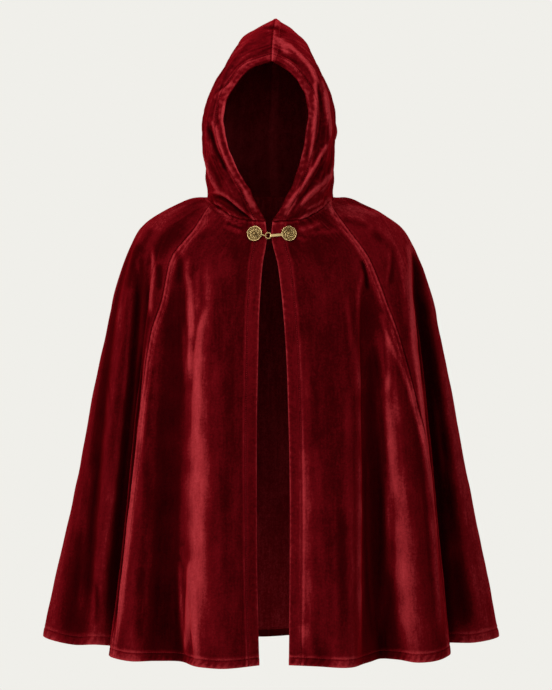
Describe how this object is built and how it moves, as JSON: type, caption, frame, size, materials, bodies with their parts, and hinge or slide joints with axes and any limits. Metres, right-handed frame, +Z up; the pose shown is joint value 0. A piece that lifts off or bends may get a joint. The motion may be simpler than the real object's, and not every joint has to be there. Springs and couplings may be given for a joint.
{
  "type": "hooded cape",
  "caption": "Hip-length hooded velvet cape, open down the front, with curved raglan seams and a brass medallion clasp with a ring and hook at the neck.",
  "frame": {"origin": "middle of the neck opening, level with the neck seam at the sides of the neck, where the wearer's shoulders and neck hold the cape up", "axes": "+Z up, the front opening faces -Y, +X towards the wearer's left"},
  "size_m": [0.8356, 0.4516, 1.1753],
  "materials": {
    "velvet": "cotton velvet with a short dense nap",
    "brass": "cast, lightly aged and polished on its high places"
  },
  "bodies": {
    "root": {"front_right": "velvet", "front_left": "velvet", "side_right": "velvet", "side_left": "velvet", "back": "velvet", "hood_right": "velvet", "hood_left": "velvet", "clasp_right": "brass", "clasp_ring": "brass", "clasp_left": "brass"}
  },
  "joints": []
}
